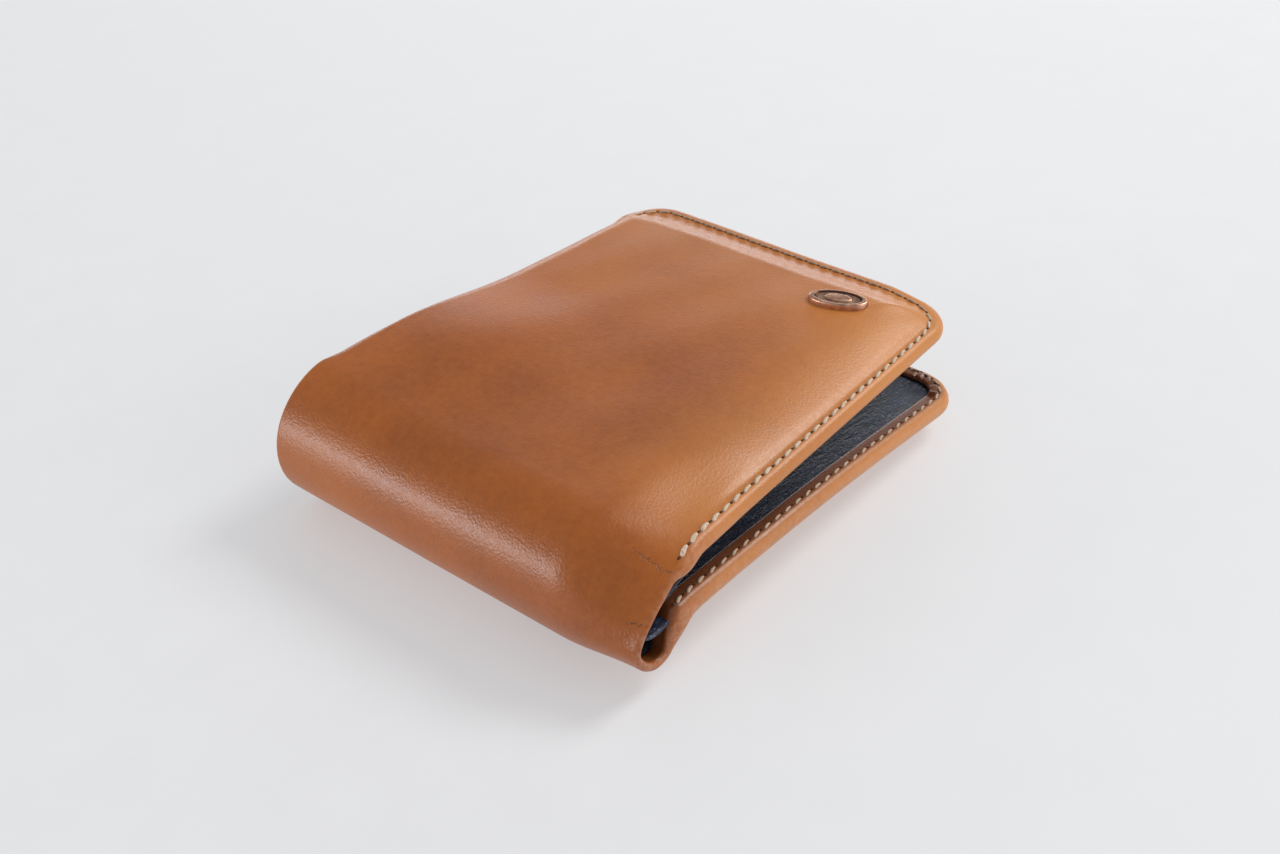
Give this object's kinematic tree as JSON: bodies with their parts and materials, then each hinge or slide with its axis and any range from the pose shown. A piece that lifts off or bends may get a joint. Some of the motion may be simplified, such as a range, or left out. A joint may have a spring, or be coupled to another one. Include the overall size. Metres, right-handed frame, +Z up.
{
  "type": "coin purse",
  "caption": "Folded leather bifold purse with a zipped coin pocket, stepped card pockets, cream seams and a small oval metal badge.",
  "frame": {"origin": "under the middle of the folded purse, on the surface it lies on", "axes": "+X from the spine to the free edges, +Y along the spine, +Z up through the leaves"},
  "size_m": [0.11, 0.084, 0.0283],
  "materials": {
    "tan_leather": "satin",
    "tan_turned": "satin",
    "navy_leather": "satin",
    "navy_cloth": "matte",
    "board": "matte",
    "cream_thread": "matte",
    "navy_thread": "matte",
    "zip_tape": "matte",
    "zip_metal": "satin",
    "badge_copper": "antique satin",
    "plate_steel": "satin"
  },
  "bodies": {
    "back_leaf": {"lower_cover": "tan_leather", "lower_turned_edge": "tan_turned", "lower_sleeve_hem": "tan_turned", "lower_stiffener": "board", "lower_lining": "navy_cloth", "coin_pocket_bag": "navy_cloth", "coin_pocket_front": "navy_leather", "zip_tape_near": "zip_tape", "zip_tape_far": "zip_tape", "zip_teeth_near": "zip_metal", "zip_teeth_far": "zip_metal", "zip_end_stops": "zip_metal", "lower_seam_thread": "cream_thread", "zip_seam_thread": "navy_thread"},
    "slider": {"zip_slider": "zip_metal"},
    "pull": {"zip_pull": "zip_metal"},
    "spine": {"spine_cover": "tan_leather", "spine_lining": "navy_cloth"},
    "front_leaf": {"upper_cover": "tan_leather", "upper_turned_edge": "tan_turned", "upper_sleeve_hem": "tan_turned", "upper_stiffener": "board", "upper_lining": "navy_cloth", "card_panel": "navy_leather", "card_pocket_1": "navy_leather", "card_pocket_2": "navy_leather", "card_pocket_3": "navy_leather", "upper_seam_thread": "cream_thread", "card_seam_thread": "navy_thread", "badge": "badge_copper", "badge_back_plate": "plate_steel"}
  },
  "joints": [
    {"name": "spine_fold", "type": "hinge", "parent": "back_leaf", "child": "spine", "pos_m": [-0.05212, 0, 0.00288], "axis": [0, -1, 0], "range_deg": [-1.5, 90]},
    {"name": "front_fold", "type": "hinge", "parent": "spine", "child": "front_leaf", "pos_m": [-0.05212, 0, 0.02392], "axis": [0, -1, 0], "range_deg": [-1.5, 90]},
    {"name": "zip_slide", "type": "slide", "parent": "back_leaf", "child": "slider", "axis": [-1, 0, 0], "range_m": [0, 0.064]},
    {"name": "pull_swing", "type": "hinge", "parent": "slider", "child": "pull", "pos_m": [0.036, 0.024, 0.013], "axis": [0, 1, 0], "range_deg": [0, 180]}
  ],
  "couplings": [
    {"joint": "front_fold", "follows": "spine_fold", "ratio": 1}
  ]
}
